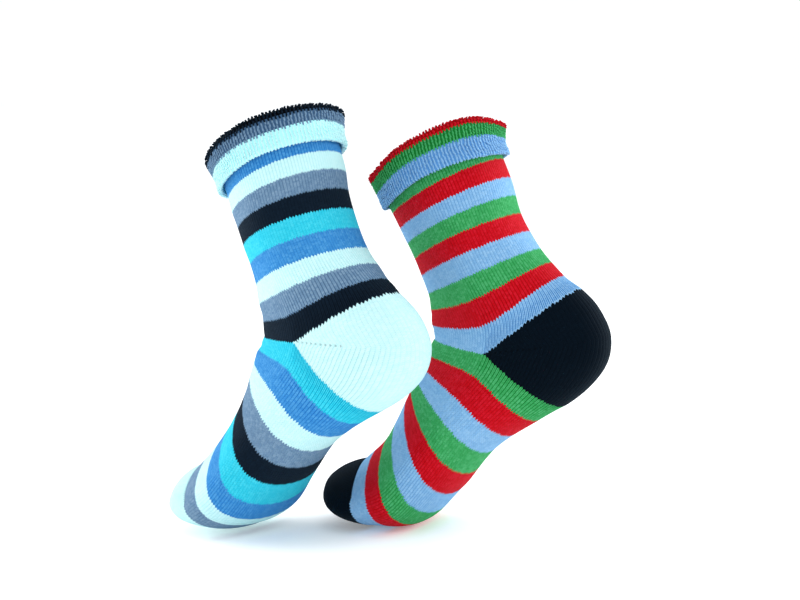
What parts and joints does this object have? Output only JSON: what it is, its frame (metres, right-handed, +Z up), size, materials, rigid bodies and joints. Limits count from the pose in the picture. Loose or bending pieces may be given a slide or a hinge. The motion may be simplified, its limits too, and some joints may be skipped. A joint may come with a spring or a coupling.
{
  "type": "pair of socks",
  "caption": "Pair of striped terry ankle socks with turned-down cuffs, in the hollow form and tiptoe pose they have when worn.",
  "frame": {"origin": "middle of the aqua sock's leg opening, where the wearer's leg holds it", "axes": "+Z up from the ground that the toes stand on, +X from the toes' side towards the heels' side across the pair, +Y from the aqua sock's open side across the pair towards the red sock, along the pair's shortest side"},
  "size_m": [0.2892, 0.1706, 0.2845],
  "materials": {
    "aqua_terry": "terry loops in black, slate and mint bands",
    "aqua_stripes": "matt cotton jersey, even stripes of mint, slate, black, cyan and blue",
    "aqua_plain": "matt cotton jersey, pale mint",
    "red_terry": "terry loops in red, green and sky bands",
    "red_stripes": "matt cotton jersey, even stripes of red, sky and green",
    "navy_plain": "matt cotton jersey, navy"
  },
  "bodies": {
    "root": {"aqua_sock_cuff": "aqua_terry", "aqua_sock_leg": "aqua_stripes", "aqua_sock_heel": "aqua_plain", "aqua_sock_foot": "aqua_stripes", "aqua_sock_toe": "aqua_plain", "red_sock_cuff": "red_terry", "red_sock_leg": "red_stripes", "red_sock_heel": "navy_plain", "red_sock_foot": "red_stripes", "red_sock_toe": "navy_plain"}
  },
  "joints": []
}
